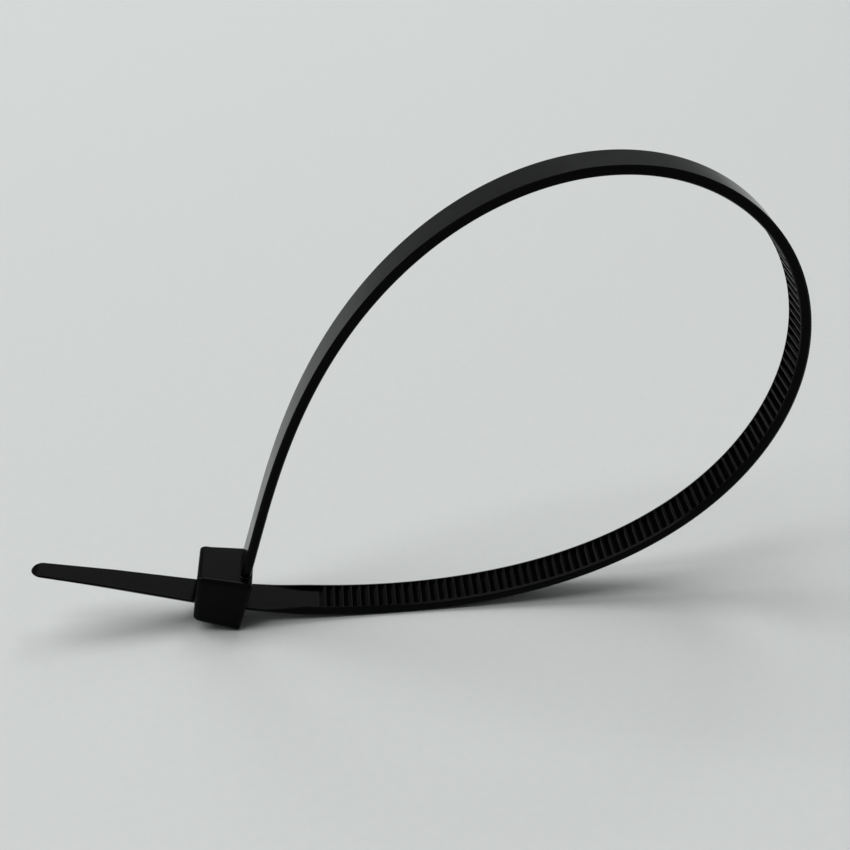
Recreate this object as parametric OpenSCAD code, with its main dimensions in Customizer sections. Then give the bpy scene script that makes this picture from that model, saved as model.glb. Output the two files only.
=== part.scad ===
// Self-locking cable tie, closed into a loop with its tail drawn through the head.
// One nylon moulding: tail, toothed strap between two rails, and a head with slot and pawl.
// Millimetres, +Z up. It stands on the head's lower edge and on the underside of the loop,
// and the origin is on that surface, under the middle of its bounding box.
//
// The strap is worked out along its centre line. A place on it is a run (distance from the
// tail's tip), a side offset y and a rise, positive towards the inside of the loop.

/* [Strap] */
// Width over the two sides
strap_w = 4.5; // [4:0.1:5.5]
// Thickness from the rail tops to the smooth outer face
strap_t = 1.1; // [0.95:0.05:1.4]
// Flat top of each rail
rail_w = 0.3; // [0.2:0.05:0.45]
// Inward run of the slope outside each rail
rail_slope_run = 0.1; // [0.06:0.02:0.3]
// Drop of that slope from the rail top
rail_slope_drop = 0.3; // [0.2:0.05:0.45]
// Inward run of the bevel beside the smooth face
bevel_run = 0.2; // [0.1:0.05:0.4]
// Height of that bevel
bevel_rise = 0.25; // [0.1:0.05:0.3]

/* [Teeth] */
// Distance from tooth to tooth
tooth_pitch = 1; // [0.8:0.05:1.3]
// Share of the pitch taken by the ramp that the pawl slides up
ramp_share = 0.6; // [0.4:0.05:0.65]
// Share of the pitch taken by the flat crest
crest_share = 0.2; // [0.15:0.05:0.3]
// Crests lie this far below the rail tops
crest_drop = 0.04; // [0.02:0.01:0.2]
// Thickness left under the valleys
web_t = 0.65; // [0.5:0.05:0.7]
// Smooth strap between the slot's mouth and the start of the rails
rail_start = 2.2; // [1.5:0.1:4]
// Smooth floor between the start of the rails and the first tooth
floor_len = 5.3; // [5:0.1:8]
// Distance in which the rails come up to their full height
rail_rise_len = 4.4; // [2:0.1:4.8]
// Plain strap without groove left next to the head
root_plain = 8; // [4:0.5:20]

/* [Tail] */
// Length that stands out behind the head
tail_len = 17.8; // [8:0.2:40]
// Angle at which it leaves the slot
tail_angle = 3; // [0:0.1:4]
// Width at the rounded tip
tail_tip_w = 2.3; // [1.6:0.1:3]
// Thickness of the smooth tail
tail_t = 0.7; // [0.6:0.05:0.9]
// Thickness at the very tip
tip_t = 0.45; // [0.4:0.05:0.6]
// Inward run of the tail's lower bevel
tail_bevel = 0.4; // [0.2:0.05:0.5]

/* [Head] */
// Height from the foot to the root of the strap
head_h = 6.9; // [6.2:0.1:9]
// Depth along the slot, at the top
head_depth = 6.1; // [5.6:0.1:7.5]
// Depth along the slot, at the foot
foot_depth = 5.3; // [5:0.1:6]
// Width at the side that faces the bundle
head_w = 7.1; // [6.8:0.1:9]
// Width at the back, where the tail comes out
back_w = 6.2; // [6:0.1:7]
// Wall between the slot and the foot
foot_wall = 1.15; // [1:0.05:1.6]
// How much lower the top is at the back
top_fall = 0.7; // [0:0.1:1]
// Radius of the long top and foot edges
edge_r = 0.6; // [0.3:0.1:0.8]
// Radius of the upright edges
corner_r = 0.5; // [0.2:0.1:0.7]
// Free height of the slot round the strap, both sides together
slot_play = 0.7; // [0.6:0.05:0.9]
// Free width of the slot round the strap, both sides together
slot_side_play = 0.4; // [0.3:0.05:0.6]

/* [Pawl] */
// Thickness of the pawl at its hinge
pawl_t = 0.75; // [0.5:0.05:0.9]
// Length of the pawl along the slot
pawl_len = 3.4; // [2.8:0.1:3.8]
// Gap between the pawl's teeth and the tail under them
pawl_gap = 0.08; // [0.05:0.01:0.15]
// Gap between the pawl and each rail or side wall
pawl_side_gap = 0.12; // [0.08:0.01:0.3]
// Room for the pawl to swing up
pawl_room = 0.7; // [0.5:0.1:1]

/* [Loop] */
// Angle at which the loop's line starts at the slot's mouth
mouth_angle = 7.7; // [4:0.1:10]
// Pull of the curve away from the mouth
mouth_reach = 91; // [75:1:110]
// Crown handle, across the head
crown_x = 55; // [45:1:65]
// Crown handle, above the slot
crown_z = 105.4; // [90:0.1:120]
// Shoulder handle, across the head
shoulder_x = -4.2; // [-8:0.2:2]
// Shoulder handle, above the slot
shoulder_z = 66.4; // [56:0.1:76]
// Pull of the curve up from the root
root_reach = 28.5; // [20:0.5:40]
// The strap's inner face is set back this far from the head's bundle side
root_step = 0.3; // [0.1:0.05:0.6]

/* [Hidden] */

nylon = [0.045, 0.045, 0.05];

// Levels across the strap's thickness, from its mid plane
rail_top = strap_t / 2;
outer_face = -strap_t / 2;
groove_floor = outer_face + web_t;
crest_top = rail_top - crest_drop;
tail_top = outer_face + tail_t;
rail_half = strap_w / 2 - rail_slope_run;
groove_half = rail_half - rail_w;

// Levels in the head, whose own origin is the middle of the slot, with x along the slot
// towards the bundle and z up to the root of the strap
slot_half = (strap_t + slot_play) / 2;
slot_w = strap_w + slot_side_play;
foot_z = -slot_half - foot_wall;
top_z = foot_z + head_h;
slot_centre_shift = 0.15;
front_x = foot_depth / 2 + slot_centre_shift;
foot_back_x = front_x - foot_depth;
top_back_x = front_x - head_depth;
root_x = front_x - root_step - rail_top;

// The tail lies on the slot's lower side at the back. The loop's line starts over the middle
// of the mouth, and the strap meets it further on. At its root it runs on into the head,
// which joins the two
tail_lift = 0.02;
exit_inset = 0.25;
mouth_out = 0.95;
loop_lift = 0.74;
tail_exit = [top_back_x + exit_inset, -slot_half + tail_lift - outer_face];
loop_start = [front_x + mouth_out, loop_lift];
join_share = 0.05;
tail_pull = 7.3;
join_pull = 9;
root_sink = 0.05;
root_end = [root_x, top_z - root_sink];
root_embed = 1.2;

// Curves with any number of handles, by repeated halfway points (de Casteljau)
function blend(c, t) = [for (i = [0:len(c) - 2]) c[i] * (1 - t) + c[i + 1] * t];
function curve(c, t) = len(c) == 1 ? c[0] : curve(blend(c, t), t);
function aim(c, t) = len(c) == 2 ? c[1] - c[0] : aim(blend(c, t), t);
function ray(angle) = [cos(angle), sin(angle)];
function unit(v) = v / norm(v);

loop_handles = [loop_start, loop_start + mouth_reach * ray(mouth_angle), [crown_x, crown_z],
    [shoulder_x, shoulder_z], root_end + [0, root_reach], root_end];
join = curve(loop_handles, join_share);
neck_handles = [tail_exit, tail_exit + tail_pull * ray(tail_angle),
    join - join_pull * unit(aim(loop_handles, join_share)), join];

neck_steps = 24;
loop_steps = 250;
loop_shares = [for (i = [0:loop_steps]) join_share + (1 - join_share) * i / loop_steps];
centre = concat(
    [tail_exit - tail_len * ray(tail_angle)],
    [for (i = [0:neck_steps - 1]) curve(neck_handles, i / neck_steps)],
    [for (t = loop_shares) curve(loop_handles, t)],
    [root_end - [0, root_embed]]);
aims = concat(
    [ray(tail_angle)],
    [for (i = [0:neck_steps - 1]) aim(neck_handles, i / neck_steps)],
    [for (t = loop_shares) aim(loop_handles, t)],
    [[0, -1]]);

// Headings grow without a jump from the tail, round the loop, to the root at 270 degrees
function heading(a) = let (h = atan2(a[1], a[0])) h < -60 ? h + 360 : h;

runs = [for (i = 0, s = 0; i < len(centre);
    s = s + (i + 1 < len(centre) ? norm(centre[i + 1] - centre[i]) : 0), i = i + 1) s];
x_at = [for (i = [0:len(centre) - 1]) [runs[i], centre[i][0]]];
z_at = [for (i = [0:len(centre) - 1]) [runs[i], centre[i][1]]];
heading_at = [for (i = [0:len(centre) - 1]) [runs[i], heading(aims[i])]];

function place(run, y, rise) = let (h = lookup(run, heading_at))
    [lookup(run, x_at) - rise * sin(h), y, lookup(run, z_at) + rise * cos(h)];

// Runs of the main stations
mouth_run = lookup(loop_start[0], [for (i = [0:neck_steps + 1]) [centre[i][0], runs[i]]]);
rail_run = mouth_run + rail_start;
first_tooth = rail_run + floor_len;
root_run = runs[len(runs) - 2];
end_run = runs[len(runs) - 1];
floor_rings = round(floor_len / tooth_pitch);
teeth = floor((root_run - root_plain - first_tooth) / tooth_pitch) - 1;
groove_end = first_tooth + (teeth + 1) * tooth_pitch;

// Sections: half width and rise at each corner, blended from the tail to the railed strap.
// The tail has a rounded tip, a thin upright side and a wide bevel under it
tip_r = tail_tip_w / 2;
tip_start = 0.05;
side_t = 0.15;
top_edge = 0.06;
function tail_half(run) = let (
    full = lookup(run, [[0, tail_tip_w / 2], [rail_run, strap_w / 2]]),
    round_off = run < tip_r ? sqrt(1 - pow(1 - max(run, tip_start) / tip_r, 2)) : 1)
    full * round_off;
function tail_rise(run) = outer_face + lookup(run, [[0, tip_t], [tail_len / 2, tail_t]]);
function mix(run, a, b) = lookup(run, [[rail_run, a], [rail_run + rail_rise_len, b]]);

function ring(run) = let (
    half = tail_half(run),
    rise = tail_rise(run),
    side = mix(run, half, strap_w / 2),
    top = mix(run, rise, rail_top),
    top_half = mix(run, half - top_edge, rail_half),
    side_top = mix(run, rise - top_edge, rail_top - rail_slope_drop),
    side_low = mix(run, rise - top_edge - side_t, outer_face + bevel_rise),
    base_half = mix(run, half - min(tail_bevel, half / 2), strap_w / 2 - bevel_run),
    inner = min(groove_half, top_half * groove_half / rail_half))
    [for (p = [[-top_half, top], [-side, side_top], [-side, side_low], [-base_half, outer_face],
        [base_half, outer_face], [side, side_low], [side, side_top], [top_half, top],
        [inner, top], [-inner, top]]) place(run, p[0], p[1])];
corners = 10;

tail_runs = concat(
    [for (i = [0:3]) tip_r * (1 - cos(i * 30))],
    [for (i = [1:6]) tip_r + (tail_len - tip_r) * i / 6],
    [for (i = [1:8]) tail_len + (rail_run - tail_len) * i / 9]);
floor_runs = [for (i = [0:floor_rings - 1]) rail_run + floor_len * i / floor_rings];
tooth_runs = [for (i = [0:teeth + 1]) first_tooth + i * tooth_pitch];
plain_step = (root_run - groove_end) / ceil((root_run - groove_end) / 1.2);
plain_runs = [for (s = groove_end + plain_step; s < root_run + 0.01; s = s + plain_step) s];
ring_runs = concat(tail_runs, floor_runs, tooth_runs, plain_runs, [end_run]);
groove_from = len(tail_runs);
groove_to = len(tail_runs) + len(floor_runs) + len(tooth_runs) - 1;
tooth_from = groove_from + floor_rings;
tooth_to = tooth_from + teeth;

// The groove's floor, as [run, rise] pairs: one at each ring inside the groove, and the two
// ends of the crest behind each ring that starts a tooth
floor_profile = [for (k = [groove_from + 1:groove_to - 1])
    [ring_runs[k], mix(ring_runs[k], tail_top, groove_floor)]];
function crest_runs(k) = [ring_runs[k] + ramp_share * tooth_pitch,
    ring_runs[k] + (ramp_share + crest_share) * tooth_pitch];
crest_profile = [for (k = [tooth_from:tooth_to - 1]) for (s = crest_runs(k)) [s, crest_top]];

ring_points = [for (s = ring_runs) for (p = ring(s)) p];
floor_points = [for (p = floor_profile) for (y = [groove_half, -groove_half]) place(p[0], y, p[1])];
crest_points = [for (p = crest_profile) for (y = [groove_half, -groove_half]) place(p[0], y, p[1])];
strap_points = concat(ring_points, floor_points, crest_points);

// Vertex numbers. side 0 is the +y wall of the groove and side 1 the -y wall
function ring_v(k, j) = k * corners + j % corners;
function rim_v(k, side) = ring_v(k, 8 + side);
function floor_v(k, side) = k == groove_from || k == groove_to ? rim_v(k, side)
    : len(ring_points) + 2 * (k - groove_from - 1) + side;
function crest_v(k, end, side) = len(ring_points) + len(floor_points)
    + 4 * (k - tooth_from) + 2 * end + side;
function quad(a, b, c, d) = [[a, b, c], [a, c, d]];
function flip(faces) = [for (f = faces) [f[2], f[1], f[0]]];
function has_tooth(k) = k >= tooth_from && k < tooth_to;
function in_groove(k) = k >= groove_from && k < groove_to;

skin = [for (k = [0:len(ring_runs) - 2]) for (j = [0:corners - 1])
    if (!(j == 8 && in_groove(k)))
        each quad(ring_v(k, j), ring_v(k, j + 1), ring_v(k + 1, j + 1), ring_v(k + 1, j))];
function plain_floor(k) =
    quad(floor_v(k, 0), floor_v(k, 1), floor_v(k + 1, 1), floor_v(k + 1, 0));
function tooth(k) = concat(
    quad(floor_v(k, 0), floor_v(k, 1), crest_v(k, 0, 1), crest_v(k, 0, 0)),
    quad(crest_v(k, 0, 0), crest_v(k, 0, 1), crest_v(k, 1, 1), crest_v(k, 1, 0)),
    quad(crest_v(k, 1, 0), crest_v(k, 1, 1), floor_v(k + 1, 1), floor_v(k + 1, 0)));
function tooth_wall(k, side) = [
    [rim_v(k, side), floor_v(k, side), crest_v(k, 0, side)],
    [rim_v(k, side), crest_v(k, 0, side), crest_v(k, 1, side)],
    [rim_v(k, side), crest_v(k, 1, side), rim_v(k + 1, side)],
    [rim_v(k + 1, side), crest_v(k, 1, side), floor_v(k + 1, side)]];
function plain_wall(k, side) =
    k == groove_from ? [[rim_v(k, side), floor_v(k + 1, side), rim_v(k + 1, side)]]
    : k == groove_to - 1 ? [[rim_v(k, side), floor_v(k, side), rim_v(k + 1, side)]]
    : quad(rim_v(k, side), floor_v(k, side), floor_v(k + 1, side), rim_v(k + 1, side));
function wall(k, side) = has_tooth(k) ? tooth_wall(k, side) : plain_wall(k, side);
groove = [for (k = [groove_from:groove_to - 1])
    each concat(has_tooth(k) ? tooth(k) : plain_floor(k), wall(k, 0), flip(wall(k, 1)))];
last_ring = len(ring_runs) - 1;
caps = [for (j = [1:corners - 2]) each [
    [ring_v(0, 0), ring_v(0, j + 1), ring_v(0, j)],
    [ring_v(last_ring, 0), ring_v(last_ring, j), ring_v(last_ring, j + 1)]]];

module strap() {
    polyhedron(points = strap_points, faces = flip(concat(skin, groove, caps)), convexity = 12);
}

// A polygon's corners rounded with arcs of radius r
arc_steps = 5;
function rounded(pts, r) = [for (i = [0:len(pts) - 1]) let (
    p = pts[i],
    a = unit(pts[(i + len(pts) - 1) % len(pts)] - p),
    b = unit(pts[(i + 1) % len(pts)] - p),
    half = acos(a * b) / 2,
    mid = p + unit(a + b) * r / sin(half),
    from = p + a * r / tan(half) - mid,
    to = p + b * r / tan(half) - mid,
    turn = 180 - 2 * half,
    spin = from[0] * to[1] - from[1] * to[0] > 0 ? 1 : -1)
    for (k = [0:arc_steps]) let (w = spin * turn * k / arc_steps)
        mid + [from[0] * cos(w) - from[1] * sin(w), from[0] * sin(w) + from[1] * cos(w)]];

// The head's outlines from the side, from above and from the bundle's side. The first has
// smaller radii, because its corners are the short edges across the head
short_edge_share = 0.6;
foot_draft = 0.15;
side_view = rounded([[foot_back_x, foot_z], [front_x, foot_z], [front_x, top_z],
    [top_back_x, top_z - top_fall]], edge_r * short_edge_share);
plan_view = rounded([[top_back_x, -back_w / 2], [front_x, -head_w / 2],
    [front_x, head_w / 2], [top_back_x, back_w / 2]], corner_r);
front_view = rounded([[-head_w / 2 + foot_draft, foot_z], [head_w / 2 - foot_draft, foot_z],
    [head_w / 2, top_z], [-head_w / 2, top_z]], edge_r);
reach = 3 * head_w;

// Extrusions seen from the side (x, z), from above (x, y) and from the front (y, z)
module across(width) {
    rotate([90, 0, 0])
        translate([0, 0, -width / 2])
            linear_extrude(height = width)
                children();
}
module head_block() {
    intersection() {
        across(reach) polygon(side_view);
        translate([0, 0, -reach / 2]) linear_extrude(height = reach) polygon(plan_view);
        rotate([0, 0, 90]) across(reach) polygon(front_view);
    }
}

// The slot, with a flared mouth on the side where the tail goes in
flare = 0.35;
flare_depth = 0.8;
past = 0.1;
module slot() {
    across(slot_w)
        polygon([[-reach, -slot_half], [front_x - flare_depth, -slot_half],
            [front_x + past, -slot_half - flare], [front_x + past, slot_half + flare],
            [front_x - flare_depth, slot_half], [-reach, slot_half]]);
}

// The pawl hangs from the slot's roof near the mouth and trails towards the tail's exit. The
// tip of each of its teeth stands a little higher than the one before, as the tail rises
hinge_inset = 1.5;
hinge_x = front_x - hinge_inset;
pawl_root = 0.6;
pawl_drop = 0.03;
pawl_w = 2 * (groove_half - pawl_side_gap);
pawl_tip_x = hinge_x - pawl_len;
pawl_back = slot_half + pawl_t;
pawl_tip_share = 0.6;
pawl_teeth = 2;
pawl_tooth_deep = 0.3;
pawl_tooth_step = 0.12;
back_share = 0.75;
face_run = 0.05;
tail_slope = 0.065;
tooth_low = tail_exit[1] + tail_top + (pawl_tip_x - tail_exit[0]) * tail_slope + pawl_gap;
function pawl_tooth(i) = let (back_x = pawl_tip_x + (i + back_share) * tooth_pitch)
    [[back_x, tooth_low + pawl_tooth_deep + i * pawl_tooth_step / 2],
        [back_x + face_run, tooth_low + (i + 1) * pawl_tooth_step]];
module pawl_shape() {
    polygon(concat(
        [[hinge_x + pawl_root, slot_half - pawl_drop], [hinge_x + pawl_root, pawl_back],
            [hinge_x, pawl_back],
            [pawl_tip_x, tooth_low + pawl_tooth_deep + pawl_t * pawl_tip_share],
            [pawl_tip_x, tooth_low]],
        [for (i = [0:pawl_teeth - 1]) each pawl_tooth(i)],
        [[pawl_tip_x + (pawl_teeth + back_share) * tooth_pitch, slot_half - pawl_drop]]));
}

// Room over the pawl, open towards the tail's exit
pocket_slope_run = 0.5;
module pawl_pocket() {
    across(pawl_w + 2 * pawl_side_gap)
        polygon([[-reach, slot_half - past], [hinge_x, slot_half - past],
            [hinge_x, pawl_back + past], [hinge_x - pocket_slope_run, pawl_back + pawl_room],
            [-reach, pawl_back + pawl_room]]);
}

module head() {
    difference() {
        head_block();
        slot();
        pawl_pocket();
    }
    across(pawl_w) pawl_shape();
}

// How it stands: the floor line touches the head's foot and the loop's underside, and all of
// it is turned until that line is level
underside = [for (k = [groove_from:groove_to])
    let (p = place(ring_runs[k], 0, outer_face)) [p[0], p[2]]];
function slope(a, b) = atan2(b[1] - a[1], b[0] - a[0]);
stand_angle = max([for (h = side_view) min([for (p = underside) slope(h, p)])]);
function level(p) = [p[0] * cos(stand_angle) + p[1] * sin(stand_angle),
    p[1] * cos(stand_angle) - p[0] * sin(stand_angle)];
floor_z = min([for (h = side_view) level(h)[1]]);
flat_xs = [for (p = ring_points) level([p[0], p[2]])[0]];
middle_x = (min(flat_xs) + max(flat_xs)) / 2;

module cable_tie() {
    color(nylon)
        translate([-middle_x, 0, -floor_z])
            rotate([0, stand_angle, 0])
                union() {
                    strap();
                    head();
                }
}

cable_tie();
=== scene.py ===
# %% [markdown]
# # A cable tie, closed into a loop
#
# The real thing is one moulding of black nylon, about 200 mm long: a thin smooth tail, a
# toothed strap between two rails, and a block-like head with a slot and a pawl. It is closed
# into an open loop, with its tail drawn through the head, and it stands on a pale surface.
#
# Lengths are in millimetres and angles in degrees until a mesh is made. Like the CAD model,
# the tie is worked out in the head's own frame: x runs along the slot towards the bundle, y
# across the strap and z up to the strap's root, with the origin in the middle of the slot.

import bpy
import numpy as np
from mathutils import Matrix


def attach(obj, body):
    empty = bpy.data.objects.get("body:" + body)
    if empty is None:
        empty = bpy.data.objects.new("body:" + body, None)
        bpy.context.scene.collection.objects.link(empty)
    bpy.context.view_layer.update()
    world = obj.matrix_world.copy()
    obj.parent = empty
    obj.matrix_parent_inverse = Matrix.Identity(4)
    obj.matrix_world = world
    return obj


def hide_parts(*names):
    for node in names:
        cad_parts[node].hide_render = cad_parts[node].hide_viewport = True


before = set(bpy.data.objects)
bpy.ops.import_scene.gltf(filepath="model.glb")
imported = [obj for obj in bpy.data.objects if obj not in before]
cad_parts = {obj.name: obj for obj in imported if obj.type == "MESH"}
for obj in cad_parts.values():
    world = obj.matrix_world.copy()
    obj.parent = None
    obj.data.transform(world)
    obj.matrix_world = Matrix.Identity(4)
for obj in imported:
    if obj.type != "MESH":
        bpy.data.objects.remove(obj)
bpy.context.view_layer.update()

# %% [markdown]
# ## The camera
#
# The photograph was taken from close by, looking down by about a third of a right angle. The
# place, the three angles and the lens were found from the lines of the teeth, the edges of
# the loop and the corners of the head. A camera's matrix has its right, up and back
# directions as columns. They are worked out from a bearing, a drop below the level and a
# small roll, which is easier to read than three turns.


# %% The camera
def camera_matrix(place_mm, bearing, drop, roll):
    """The bearing turns forward from +Y towards +X, the drop lowers it below the level, and
    the roll then turns right and up about it."""
    b, d, r = np.radians([bearing, drop, roll])
    forward = np.array([np.sin(b) * np.cos(d), np.cos(b) * np.cos(d), -np.sin(d)])
    level = np.array([np.cos(b), -np.sin(b), 0.0])
    right = level * np.cos(r) + np.cross(level, forward) * np.sin(r)
    matrix = np.eye(4)
    matrix[:3, 0] = right
    matrix[:3, 1] = np.cross(right, forward)
    matrix[:3, 2] = -forward
    matrix[:3, 3] = np.array(place_mm) * 0.001
    return Matrix(matrix.tolist())


lens = bpy.data.cameras.new("camera")
lens.sensor_width = 36.0
lens.lens = 53.89
lens.clip_start = 0.005
camera = bpy.data.objects.new("camera", lens)
camera.matrix_world = camera_matrix(
    (-4.86, -113.66, 95.66), bearing=3.56, drop=32.29, roll=-1.9)
bpy.context.collection.objects.link(camera)
bpy.context.scene.camera = camera
print("camera", [round(v, 4) for v in camera.matrix_world.translation])

# %% [markdown]
# ## The centre line
#
# A nylon strap that is bent into a loop springs to a curve whose bend changes gently, so one
# smooth curve with six handles follows it to the root. The tail is straight, and a curve with
# four handles leads it up through the slot and into the loop. In the slot's play the tail
# lies a little higher here than in the CAD model. A place on the strap is then a run
# (distance along it from the tail's tip), a side offset and a rise, positive towards the
# inside of the loop.

# %% Sizes of the strap and the head
strap_w, strap_t = 4.5, 1.1
tail_len, tail_t, tip_t, tip_w = 17.8, 0.7, 0.45, 2.3
front_x, top_z, foot_z = 2.8, 4.85, -2.05
head_depth, foot_depth = 6.1, 5.3
slot_half = 0.9
rail_top, outer_face = strap_t / 2, -strap_t / 2


def ray(angle):
    """The direction at that angle in the x, z plane."""
    return np.array([np.cos(np.radians(angle)), np.sin(np.radians(angle))])


def curve(handles, t):
    """Each pair of neighbouring handles is blended by t, again and again, until one point is
    left for each t."""
    points = np.broadcast_to(np.array(handles), (len(t), len(handles), 2))
    while points.shape[1] > 1:
        points = points[:, :-1] * (1 - t[:, None, None]) + points[:, 1:] * t[:, None, None]
    return points[:, 0]


tail_exit = np.array([-3.05, -0.05])
loop_start = np.array([3.75, 0.74])
root = np.array([1.95, 4.8])
tail_angle, loop_angle = 2.53, 7.7
mouth_reach, root_reach = 91.0, 28.5
crown, shoulder = [55.0, 105.4], [-4.2, 66.4]
loop = [loop_start, loop_start + mouth_reach * ray(loop_angle), crown, shoulder,
        root + [0.0, root_reach], root]
join_share = 0.07
tail_pull, join_pull = 7.0, 13.8
join, next_point = curve(loop, np.array([join_share, join_share + 0.001]))
join_way = (next_point - join) / np.linalg.norm(next_point - join)
neck = [tail_exit, tail_exit + tail_pull * ray(tail_angle), join - join_pull * join_way, join]
root_embed = 1.2
neck_points = curve(neck, np.linspace(0, 1, 400, endpoint=False))
line = np.vstack([
    tail_exit - tail_len * ray(tail_angle),
    neck_points,
    curve(loop, np.linspace(join_share, 1, 3000)),
    root - [0.0, root_embed],
])
steps = np.hypot(*np.diff(line, axis=0).T)
runs = np.append(0.0, np.cumsum(steps))
headings = np.unwrap(np.arctan2(*np.diff(line, axis=0).T[::-1]))
mid_runs = (runs[:-1] + runs[1:]) / 2
mouth_run = np.interp(loop_start[0], line[:400, 0], runs[:400])
root_run = runs[-2]
print("whole strap", round(float(runs[-1]), 2), "mm, mouth at", round(float(mouth_run), 2))


def place(run, y, rise):
    """The point of the centre line at that run, moved across the strap by y and square to the
    centre line by rise."""
    heading = np.interp(run, mid_runs, headings)
    x = np.interp(run, runs, line[:, 0]) - rise * np.sin(heading)
    z = np.interp(run, runs, line[:, 1]) + rise * np.cos(heading)
    return np.stack(np.broadcast_arrays(x, y, z), axis=-1)


# %% [markdown]
# ## How it stands
#
# The tie rests on the lower edge of its head and on the underside of the loop. The CAD model
# finds the angle of that common line, and the scene uses the same turn and shift.

# %% From the head's frame to the floor
stand_angle = np.radians(18.5298)
middle_x, floor_z = 21.7549, -2.7378


def stand(points):
    """The points turned about the slot until the tie stands, then moved over the origin."""
    x, y, z = np.moveaxis(points, -1, 0)
    return np.stack([
        x * np.cos(stand_angle) + z * np.sin(stand_angle) - middle_x,
        y,
        z * np.cos(stand_angle) - x * np.sin(stand_angle) - floor_z,
    ], axis=-1)


# %% [markdown]
# ## The strap's section
#
# Seen from its end, the strap is a shallow channel. Two rails stand beside the teeth, their
# outer edges are broken by a narrow slope, and a bevel cuts the corner beside the smooth outer
# face, so that it doesn't cut a finger. The section has twelve corners, and every corner is a
# function of the run: the tail is thin and flat, and behind the head the rails rise slowly.


# %% Corners of the section
def between(run, start, length):
    """0 before start, 1 after start + length, with a soft S between them."""
    t = np.clip((run - start) / length, 0, 1)
    return t * t * (3 - 2 * t)


# The rail's top is 0.3 mm wide and falls outwards by 0.12 mm
rail_w, rail_slope_run, rail_slope_drop, rail_fall = 0.3, 0.1, 0.3, 0.12
bevel_run, bevel_rise = 0.2, 0.25
rail_half = strap_w / 2 - rail_slope_run
groove_half = rail_half - rail_w
rail_start, rail_rise_len, tooth_start = 1.2, 5.6, 7.5
rail_run = mouth_run + rail_start
first_tooth = mouth_run + tooth_start
tooth_pitch, tooth_count = 1.0, 155
teeth_end = first_tooth + tooth_count * tooth_pitch
valley_rise, crest_rise = 0.1, 0.51
wall_lean = 0.04
# The tail's own edges: a narrow slope on top, an upright side and a wide bevel below. At the
# rounded tip its thickness goes down to a third
tail_edge, tail_side, tail_side_drop, tail_bevel, tip_share = 0.06, 0.05, 0.21, 0.4, 0.35

# %% [markdown]
# Each tooth is a long ramp that the pawl slides up, a narrow flat crest and a steep back. Its
# two upper edges are broken by a tiny facet, as the tool's own corners never fill quite sharp.

# %% One tooth
tooth_edges = np.array([0.0, 0.57, 0.63, 0.77, 0.83])
tooth_levels = np.array([0.0, 0.95, 1.0, 1.0, 0.85])


def tooth_height(run):
    """Height of the groove's floor, linear between the edges of the tooth."""
    phase = ((run - first_tooth) / tooth_pitch) % 1
    share = np.interp(phase, np.append(tooth_edges, 1.0), np.append(tooth_levels, 0.0))
    return valley_rise + (crest_rise - valley_rise) * share


def section(run):
    """The twelve corners (y, rise) at each run, from the +y side of the groove's floor round
    the outer face to the -y side."""
    tip = np.sqrt(1 - (1 - np.clip(run / (tip_w / 2), 0.02, 1)) ** 2)
    half = np.interp(run, [0, rail_run], [tip_w / 2, strap_w / 2]) * tip
    thick = np.interp(run, [0, tail_len / 2], [tip_t, tail_t])
    top = outer_face + thick * (tip_share + (1 - tip_share) * tip)
    rails = between(run, rail_run, rail_rise_len)

    def mixed(tail_value, strap_value):
        return tail_value * (1 - rails) + strap_value * rails

    side = mixed(half, strap_w / 2)
    rail = mixed(top, rail_top)
    rail_out = mixed(half - tail_edge * tip, rail_half)
    inner = rail_out * groove_half / rail_half
    filled = between(run, teeth_end, 1.0)
    floor = mixed(top, valley_rise) * (1 - filled) + rail * filled
    floor = np.where((run > first_tooth) & (run < teeth_end), tooth_height(run), floor)
    corners = [
        [inner - wall_lean * rails * (1 - filled), floor],
        [inner, rail],
        [rail_out, rail - rail_fall * rails],
        [side, mixed(top - tail_edge, rail_top - rail_slope_drop)],
        [side, mixed(top - tail_side_drop * tip - tail_side, outer_face + bevel_rise)],
        [mixed(half - np.minimum(tail_bevel, half / 2), strap_w / 2 - bevel_run),
         outer_face + 0 * run],
    ]
    near = [[-y, rise] for y, rise in reversed(corners)]
    return np.moveaxis(np.array(corners + near), -1, 0)


# %% [markdown]
# Moulded corners are never sharp. Each one becomes five points: a small arc of three, and on
# each side one more that holds the flat face flat when the shading is smoothed.


# %% Rounded corners
def rounded(corners, cut=0.045, hold=0.03):
    """The arc starts and ends at the distance cut from the corner, or at 0.3 of a short side.
    The holding points lie hold further out, or at 0.45 of a short side. cut is one distance
    for all corners, or a column with one for each."""
    def along(other, distance, share):
        side = other - corners
        length = np.linalg.norm(side, axis=-1, keepdims=True) + 1e-9
        return corners + side / length * np.minimum(distance, share * length)

    before, after = np.roll(corners, 1, axis=-2), np.roll(corners, -1, axis=-2)
    start, end = along(before, cut, 0.3), along(after, cut, 0.3)
    points = [along(before, cut + hold, 0.45), start, (start + 2 * corners + end) / 4, end,
              along(after, cut + hold, 0.45)]
    return np.stack(points, axis=-2).reshape(*corners.shape[:-2], -1, 2)


# %% [markdown]
# ## Meshes from grids
#
# Every piece here is a closed grid: rows of points that each go round once. One function
# joins the rows with four-sided faces, and closes the first and last row, or joins them to
# each other. The faces are shaded smooth, except at the edges that are marked as sharp.


# %% A mesh from rows of points
sharp_angle = 60


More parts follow.
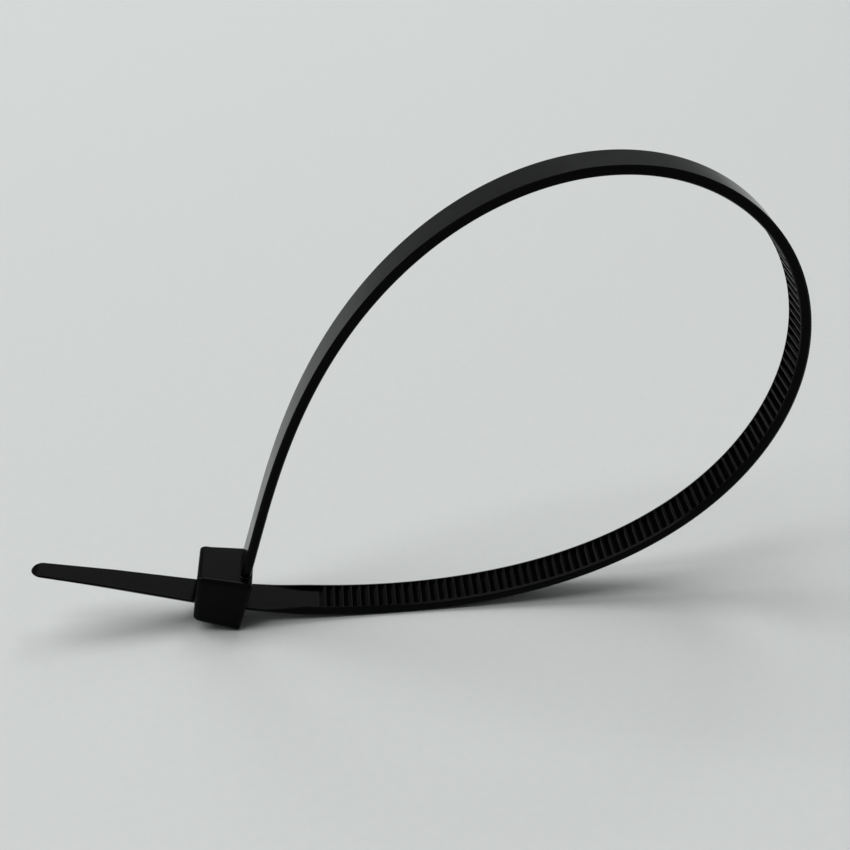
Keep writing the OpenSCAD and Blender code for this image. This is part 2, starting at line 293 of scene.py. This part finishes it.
def grid_piece(name, rows, ring=False, inside_out=False, sharp=None):
    """rows has the shape (rows, points round, 3), in mm in the head's frame. With ring, the
    last row joins the first. Otherwise both ends are closed with one face each. sharp is true
    for points whose edges along their row stay sharp."""
    count, around = rows.shape[:2]
    here = np.arange(count if ring else count - 1)[:, None] * around
    there = (here + around) % (count * around)
    j, k = np.arange(around), (np.arange(around) + 1) % around
    faces = np.stack([here + j, here + k, there + k, there + j], axis=-1).reshape(-1, 4)
    if inside_out:
        faces = faces[:, ::-1]
    faces = faces.tolist()
    if not ring:
        caps = [list(range(around))[::-1], list(range((count - 1) * around, count * around))]
        faces += [cap[::-1] for cap in caps] if inside_out else caps
    mesh = bpy.data.meshes.new(name)
    mesh.from_pydata((stand(rows).reshape(-1, 3) * 0.001).tolist(), [], faces)
    mesh.shade_smooth()
    mesh.set_sharp_from_angle(angle=np.radians(sharp_angle))
    if sharp is not None:
        ends = np.zeros(len(mesh.edges) * 2, dtype=np.int32)
        mesh.edges.foreach_get("vertices", ends)
        ends = ends.reshape(-1, 2)
        marks = np.zeros(len(mesh.edges), dtype=bool)
        mesh.edges.foreach_get("use_edge_sharp", marks)
        same_row = ends[:, 0] // around == ends[:, 1] // around
        marks |= same_row & sharp.ravel()[ends].all(axis=1)
        mesh.edges.foreach_set("use_edge_sharp", marks)
    piece = bpy.data.objects.new(name, mesh)
    bpy.context.collection.objects.link(piece)
    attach(piece, "root")
    print(name, len(mesh.vertices), "points,", len(mesh.polygons), "faces")
    return piece


# %% [markdown]
# ## The strap
#
# There are five rows to each tooth. On the smooth outside they stand at even distances, which
# keeps its shading even, and in the groove they stand at the edges of the teeth.

# %% Where the rows stand
row_step, tail_step = 0.2, 0.4
tip_rows = (tip_w / 2) * (1 - np.cos(np.linspace(0.02, np.pi / 2, 14)))
tail_rows = np.arange(tip_w / 2 + 0.3, rail_run - 0.2, tail_step)
start_rows = np.arange(rail_run, first_tooth - row_step / 2, row_step)
pitches = first_tooth + tooth_pitch * np.arange(tooth_count)[:, None]
plain_rows = np.arange(teeth_end + 0.05, root_run - 0.5, row_step)
fillet_r, fillet_sunk = 0.15, 0.05
fillet_end = root_run + fillet_sunk
fillet_rows = fillet_end - fillet_r * (1 - np.sin(np.linspace(0, np.pi / 2, 9)))
last_row = root_run + root_embed * 0.9
before_teeth = np.concatenate([tip_rows, tail_rows, start_rows])
after_teeth = np.concatenate([plain_rows, fillet_rows, [last_row]])
even_rows = pitches + row_step / 2 + np.arange(0, 1, row_step)
outside_runs = np.concatenate([before_teeth, even_rows.ravel(), after_teeth])
groove_runs = np.concatenate([before_teeth, (pitches + tooth_edges).ravel(), after_teeth])
print("rows along the strap:", len(outside_runs))

# %% [markdown]
# The two edges outside the rail are the roundest of the section, and every other edge has the
# same small arc. Where the strap grows out of the head its section swells by a quarter
# circle, which is the fillet at the root of a moulded strap. The swell reaches its full size
# a little way from the middle of the section.

# %% The strap in one grid
corner_count, arc_points = 12, 5
corner_of = np.arange(corner_count * arc_points) // arc_points
in_groove = (corner_of == 0) | (corner_of == corner_count - 1)
row_runs = np.where(in_groove, groove_runs[:, None], outside_runs[:, None])
small_cut, rail_edge_cut, slope_cut = 0.045, 0.1, 0.06
cuts = np.array([small_cut, small_cut, rail_edge_cut, slope_cut, small_cut, small_cut])
cuts = np.append(cuts, cuts[::-1])[:, None]
outline = np.where(in_groove[:, None], rounded(section(groove_runs), cuts),
                   rounded(section(outside_runs), cuts))
swell_from_middle = 0.4
to_head = np.clip(fillet_end - row_runs, 0, fillet_r)
swell = fillet_r - np.sqrt(fillet_r**2 - (fillet_r - to_head) ** 2)
outline = outline + swell[..., None] * np.clip(outline / swell_from_middle, -1, 1)
toothed = (groove_runs >= first_tooth) & (groove_runs < teeth_end)
strap = grid_piece("strap", place(row_runs, outline[..., 0], outline[..., 1]),
                   sharp=toothed[:, None] & in_groove)
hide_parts("cable_tie")

# %% [markdown]
# ## The head
#
# The head is a small block with a slot through it. Its outside and the walls of its slot can
# be one closed surface, like a squared ring doughnut: rows go round the slot's direction,
# first along the outside from back to front, then round the front edge, in across the front
# face, back through the slot and out across the back face. Each row is a rectangle with
# rounded corners, so outside and slot have the same number of points.

# %% Sizes of the head
head_w, back_w, foot_draft, top_fall = 7.1, 6.2, 0.15, 0.7
# Radii of the long edges and of the front edges, and how far the soft back edges reach in
# from the sides and from the back
edge_r, face_r = 0.55, 0.42
back_inset, back_round = 0.52, 0.9
slot_side_play, slot_r, slot_lip = 0.4, 0.12, 0.1
slot_w = strap_w + slot_side_play
flare, flare_depth = 0.35, 0.8
hinge_inset, pawl_t, pawl_room, pawl_side_gap = 1.5, 0.75, 0.7, 0.12
hinge_x = front_x - hinge_inset
pawl_w = 2 * (groove_half - pawl_side_gap)
pocket_half = pawl_w / 2 + pawl_side_gap
pocket_top = slot_half + pawl_t + pawl_room
pocket_slope_run = 0.4
pocket_share = (slot_w / 2 - slot_r - pocket_half) / (slot_w - 2 * slot_r)
top_shares = np.array([0.03, pocket_share - 0.01, pocket_share + 0.01, 0.35, 0.5, 0.65,
                       0.99 - pocket_share, 1.01 - pocket_share, 0.97])


# %% Rectangles with rounded corners
def rectangle(low, high, z_low, z_high, r):
    """A row of points (y, z) that goes round from the foot's middle towards +y. low and high
    are half the widths at the foot and at the top, and r the radius of the corners. The top
    side has points at the shares where the pawl's pocket begins."""
    low, high, z_low, z_high, r = np.broadcast_arrays(low, high, z_low, z_high, r)
    turn = np.radians(np.linspace(0, 90, 7))
    y, z = [0 * low], [z_low]

    def corner(y_mid, z_mid, start):
        for a in turn + np.radians(start):
            y.append(y_mid + r * np.cos(a))
            z.append(z_mid + r * np.sin(a))

    def side(y0, z0, y1, z1, shares):
        for s in shares:
            y.append(y0 * (1 - s) + y1 * s)
            z.append(z0 * (1 - s) + z1 * s)

    upright = np.array([0.03, 0.35, 0.65, 0.97])
    side(0 * low, z_low, low - r, z_low, [0.5, 0.96])
    corner(low - r, z_low + r, -90)
    side(low, z_low + r, high, z_high - r, upright)
    corner(high - r, z_high - r, 0)
    side(high - r, z_high, -(high - r), z_high, top_shares)
    corner(-(high - r), z_high - r, 90)
    side(-high, z_high - r, -low, z_low + r, upright)
    corner(-(low - r), z_low + r, 180)
    side(-(low - r), z_low, 0 * low, z_low, [0.04, 0.5])
    return np.stack([np.stack(y, axis=-1), np.stack(z, axis=-1)], axis=-1)


# %% [markdown]
# The block is a little wider on the bundle's side than at the back, its top falls towards
# the back, and its back face leans, because the foot is shorter than the top.


# %% The outlines of the block and of its slot
def back_at(z):
    """x of the leaning back face at that height."""
    return front_x - np.interp(z, [foot_z, top_z - top_fall], [foot_depth, head_depth])


def outside(share, inset):
    """The block's outline at that share of the way from back to front, drawn in by inset."""
    share, inset = np.broadcast_arrays(share, inset)
    half = back_w / 2 + (head_w - back_w) / 2 * share - inset
    return rectangle(half - foot_draft, half, foot_z + inset,
                     top_z - top_fall * (1 - share) - inset, np.maximum(edge_r - inset, 0.05))


def inside(x, inset):
    """The slot's outline at x, widened by inset, with the pocket over its middle."""
    flared = inset + flare * np.clip((x - (front_x - flare_depth)) / flare_depth, 0, 1)
    shape = rectangle(slot_w / 2 + inset, slot_w / 2 + inset, -slot_half - flared,
                      slot_half + flared, slot_r)
    y, z = shape[..., 0], shape[..., 1]
    over = (z > slot_half - 0.05) & (np.abs(y) < pocket_half + 0.01)
    depth = (pocket_top - slot_half) * np.clip((hinge_x - x) / pocket_slope_run, 0, 1)
    return np.stack([y, np.where(over, z + depth[:, None], z)], axis=-1)


def with_x(x, shape):
    """Points (x, y, z) from x and a row of (y, z)."""
    return np.stack(np.broadcast_arrays(x, shape[..., 0], shape[..., 1]), axis=-1)


# %% The head in one grid
slot_back_x, exit_at_x, slot_rows = -2.2, -3.0, 40
side_shares = np.array([0.19, 0.22, 0.35, 0.5, 0.7, 0.88, 0.91])
side_yz = outside(side_shares, 0.0)
side_x = back_at(side_yz[..., 1]) * (1 - side_shares[:, None]) + front_x * side_shares[:, None]
turn = np.radians(np.linspace(0, 90, 8))
drawn_in, gone_on = face_r * (1 - np.cos(turn)), face_r * np.sin(turn)
front_yz = outside(side_shares[-1] + 0.01, drawn_in)
back_yz = outside(side_shares[0] - 0.01, back_inset * (1 - np.cos(turn[::-1])))
back_x = back_at(back_yz[..., 1]) + back_round * (1 - np.sin(turn[::-1]))[:, None]
lip = np.radians([0, 30, 60, 80])
lip_out, lip_in = slot_lip * (1 - np.sin(lip)), slot_lip * (1 - np.cos(lip))
mouth_yz = inside(np.full(4, front_x), lip_out)
exit_yz = inside(np.full(4, exit_at_x), lip_out[::-1])
exit_x = back_at(exit_yz[..., 1]) + lip_in[::-1][:, None]
slot_x = np.linspace(front_x - 0.12, slot_back_x, slot_rows)
blend = np.array([0.04, 0.35, 0.65, 0.96])[:, None, None]
front_face = front_yz[-1:] * (1 - blend) + mouth_yz[:1] * blend
back_face = exit_yz[-1:] * (1 - blend) + back_yz[:1] * blend
head_rows = np.concatenate([
    with_x(side_x, side_yz),
    with_x((front_x - face_r + gone_on)[:, None], front_yz),
    with_x(front_x, front_face),
    with_x((front_x - lip_in)[:, None], mouth_yz),
    with_x(slot_x[:, None], inside(slot_x, np.zeros(slot_rows))),
    with_x(exit_x, exit_yz),
    with_x(back_at(back_face[..., 1]), back_face),
    with_x(back_x, back_yz),
])
head = grid_piece("head", head_rows, ring=True, inside_out=True)

# %% [markdown]
# ## The pawl
#
# The pawl is a tongue that hangs from the slot's roof near the mouth and trails towards the
# back, with small teeth under its tip. It is a side outline carried straight across, drawn in
# a little at both sides, which breaks the edges.

# %% The outline of the pawl
pawl_len, pawl_root, pawl_drop, pawl_gap = 3.4, 0.6, 0.03, 0.08
pawl_tip_share, pawl_tooth_deep, pawl_tooth_step = 0.6, 0.3, 0.12
back_share, face_run, tail_slope = 0.75, 0.05, 0.065
pawl_back = slot_half + pawl_t
tip_x = hinge_x - pawl_len
tail_top = tail_exit[1] + outer_face + tail_t + (tip_x - tail_exit[0]) * tail_slope
tooth_low = tail_top + pawl_gap


def pawl_tooth(i):
    """The back and the tip of the tooth with that number. Each stands a little higher than
    the one before, as the tail under it rises."""
    x = tip_x + (i + back_share) * tooth_pitch
    return [[x, tooth_low + pawl_tooth_deep + i * pawl_tooth_step / 2],
            [x + face_run, tooth_low + (i + 1) * pawl_tooth_step]]


pawl_outline = np.array([
    [hinge_x + pawl_root, slot_half - pawl_drop], [hinge_x + pawl_root, pawl_back],
    [hinge_x, pawl_back],
    [tip_x, tooth_low + pawl_tooth_deep + pawl_t * pawl_tip_share], [tip_x, tooth_low],
    *pawl_tooth(0), *pawl_tooth(1),
    [tip_x + (2 + back_share) * tooth_pitch, slot_half - pawl_drop]])

# %% The pawl in one grid
pawl_edge, drawn_share = 0.04, 0.04
pawl_shape = rounded(pawl_outline)
drawn = pawl_shape + (pawl_shape.mean(axis=0) - pawl_shape) * drawn_share
half = pawl_w / 2
slices = ((drawn, -half), (pawl_shape, -half + pawl_edge),
          (pawl_shape, half - pawl_edge), (drawn, half))
pawl_rows = np.stack([
    with_x(shape[:, 0], np.stack([np.full(len(shape), y), shape[:, 1]], axis=-1))
    for shape, y in slices])
pawl = grid_piece("pawl", pawl_rows, inside_out=True)

# %% [markdown]
# ## Black nylon
#
# Moulded PA66 with carbon black: almost no colour of its own, so what the eye sees is mostly
# the reflection of its surroundings. The tool is polished, which gives a semi-gloss skin with
# a faint fine grain, slightly cloudy from uneven cooling. Nylon's index of refraction is
# about 1.53. It is matched down here, because the photograph's own contrast makes its blacks
# deeper than that index would show them.


# %% Colours and nodes
def linear(hex_code):
    """An sRGB hex colour as linear red, green and blue, and an alpha of 1."""
    c = np.array([int(hex_code[i:i + 2], 16) for i in (1, 3, 5)]) / 255
    return tuple(np.where(c <= 0.04045, c / 12.92, ((c + 0.055) / 1.055) ** 2.4)) + (1.0,)


def add_node(material, kind, links=(), **settings):
    """Adds one node. settings are its properties, or its inputs where a name starts with in_,
    and each of links is (input name, other node, output name)."""
    node = material.node_tree.nodes.new(kind)
    for name, value in settings.items():
        if name.startswith("in_"):
            node.inputs[name[3:].replace("_", " ")].default_value = value
        else:
            setattr(node, name, value)
    for socket, other, output in links:
        material.node_tree.links.new(other.outputs[output], node.inputs[socket])
    return node


def new_material(name):
    """An empty node material with its output."""
    material = bpy.data.materials.new(name)
    material.use_nodes = True
    material.node_tree.nodes.clear()
    return material, material.node_tree.nodes.new("ShaderNodeOutputMaterial")


def surface(material, output, shader):
    """Joins a shader to the surface of the material's output."""
    material.node_tree.links.new(shader.outputs[0], output.inputs["Surface"])


# %% Moulded black nylon
# Noise cells per metre: clouds of about 4 mm and a grain of about 0.2 mm
clouds_per_m, grains_per_m = 260.0, 5200.0
nylon, nylon_out = new_material("moulded_black_nylon")
where = add_node(nylon, "ShaderNodeTexCoord")
cloud = add_node(nylon, "ShaderNodeTexNoise", [("Vector", where, "Object")],
                 in_Scale=clouds_per_m, in_Detail=3.0)
grain = add_node(nylon, "ShaderNodeTexNoise", [("Vector", where, "Object")],
                 in_Scale=grains_per_m, in_Detail=2.0)
gloss = add_node(nylon, "ShaderNodeMapRange", [("Value", cloud, "Fac")],
                 in_From_Min=0.3, in_From_Max=0.7, in_To_Min=0.13, in_To_Max=0.2)
tint = add_node(nylon, "ShaderNodeMix", [("Factor", cloud, "Fac")], data_type="RGBA")
tint.inputs[6].default_value = linear("#020202")
tint.inputs[7].default_value = linear("#040404")
skin = add_node(nylon, "ShaderNodeBump", [("Height", grain, "Fac")],
                in_Strength=0.12, in_Distance=0.00002)
plastic = add_node(nylon, "ShaderNodeBsdfPrincipled",
                   [("Roughness", gloss, "Result"), ("Normal", skin, "Normal")], in_IOR=1.13)
nylon.node_tree.links.new(tint.outputs[2], plastic.inputs["Base Color"])
surface(nylon, nylon_out, plastic)
for piece in (strap, head, pawl):
    piece.data.materials.append(nylon)

# %% [markdown]
# ## The floor and the light
#
# A pale seamless sheet of paper that curves up behind the tie, so that no horizon shows. It
# is matt, with a hardly visible mottle of fibres.

# %% The paper
# Noise cells per metre: fibre clusters of about 1 mm
fibres_per_m = 900.0
paper, paper_out = new_material("pale_paper_sheet")
spot = add_node(paper, "ShaderNodeTexCoord")
fibre = add_node(paper, "ShaderNodeTexNoise", [("Vector", spot, "Object")],
                 in_Scale=fibres_per_m, in_Detail=4.0)
shade = add_node(paper, "ShaderNodeMix", [("Factor", fibre, "Fac")], data_type="RGBA")
shade.inputs[6].default_value = linear("#ced1d0")
shade.inputs[7].default_value = linear("#d3d6d5")
matt = add_node(paper, "ShaderNodeBsdfPrincipled", in_Roughness=0.7)
paper.node_tree.links.new(shade.outputs[2], matt.inputs["Base Color"])
surface(paper, paper_out, matt)

# %% The floor
sweep_angle = np.radians(np.linspace(0, 90, 24))
sweep_r, sweep_back, sweep_front, sweep_half, sweep_top = 0.5, 0.9, -1.2, 2.0, 1.6
bend_y = sweep_back + sweep_r * np.sin(sweep_angle)
bend_z = sweep_r * (1 - np.cos(sweep_angle))
path = np.vstack([
    [sweep_front, 0.0],
    np.stack([bend_y, bend_z], axis=-1),
    [sweep_back + sweep_r, sweep_top],
])
sweep = np.stack([np.stack([np.full(len(path), x), path[:, 0], path[:, 1]], axis=-1)
                  for x in (-sweep_half, sweep_half)])
columns = np.arange(len(path) - 1)
sheet = bpy.data.meshes.new("paper_sweep")
across = columns + len(path)
sheet_faces = np.stack([columns, across, across + 1, columns + 1], axis=-1)
sheet.from_pydata(sweep.reshape(-1, 3).tolist(), [], sheet_faces.tolist())
sheet.shade_smooth()
sheet.materials.append(paper)
floor = bpy.data.objects.new("paper_sweep", sheet)
bpy.context.collection.objects.link(floor)
print("paper sweep", len(sheet.polygons), "faces")

# %% [markdown]
# ## The light
#
# Three soft windows: a large one high on the left gives most of the light, a small one
# stands behind the tie, and a narrow one stands high behind it on the right.


# %% The windows
def soft_box(name, place_m, aim_m, width, height, power):
    """A rectangular area lamp at place_m that looks at aim_m."""
    lamp = bpy.data.lights.new(name, "AREA")
    lamp.shape = "RECTANGLE"
    lamp.size, lamp.size_y, lamp.energy = width, height, power
    holder = bpy.data.objects.new(name, lamp)
    back = np.array(place_m, float) - np.array(aim_m, float)
    back /= np.linalg.norm(back)
    right = np.cross([0.0, 1.0, 0.0], back)
    right /= np.linalg.norm(right)
    matrix = np.eye(4)
    matrix[:3, 0] = right
    matrix[:3, 1] = np.cross(back, right)
    matrix[:3, 2] = back
    matrix[:3, 3] = place_m
    holder.matrix_world = Matrix(matrix.tolist())
    bpy.context.collection.objects.link(holder)


tie = (0.0, 0.0, 0.0)
soft_box("window_left", (-0.67, 0.1, 1.44), tie, width=1.4, height=1.4, power=20.8)
soft_box("window_behind", (0.18, 0.68, 0.68), tie, width=0.6, height=0.6, power=0.9)
soft_box("window_high", (0.43, 0.55, 1.44), tie, width=0.4, height=0.8, power=4.8)

# %% [markdown]
# The room round the tie is pale. It adds only a little light, so that the shadow stays, and
# it shows at its full brightness to the camera, in reflections and through clear things. The
# kinds of ray are added up, and the sum picks the strength.

# %% The room
room_fill, room_seen = 0.12, 0.62
world = bpy.data.worlds.new("room")
bpy.context.scene.world = world
world.use_nodes = True
room = world.node_tree.nodes["Background"]
room.inputs["Color"].default_value = linear("#e9ebea")
ray_kind = add_node(world, "ShaderNodeLightPath")
seen = add_node(world, "ShaderNodeMath",
                [(0, ray_kind, "Is Camera Ray"), (1, ray_kind, "Is Glossy Ray")],
                operation="ADD")
seen = add_node(world, "ShaderNodeMath",
                [(0, seen, "Value"), (1, ray_kind, "Is Transmission Ray")],
                operation="ADD", use_clamp=True)
level = add_node(world, "ShaderNodeMapRange", [("Value", seen, "Value")],
                 in_To_Min=room_fill, in_To_Max=room_seen)
world.node_tree.links.new(level.outputs["Result"], room.inputs["Strength"])
bpy.context.scene.view_settings.view_transform = "Standard"
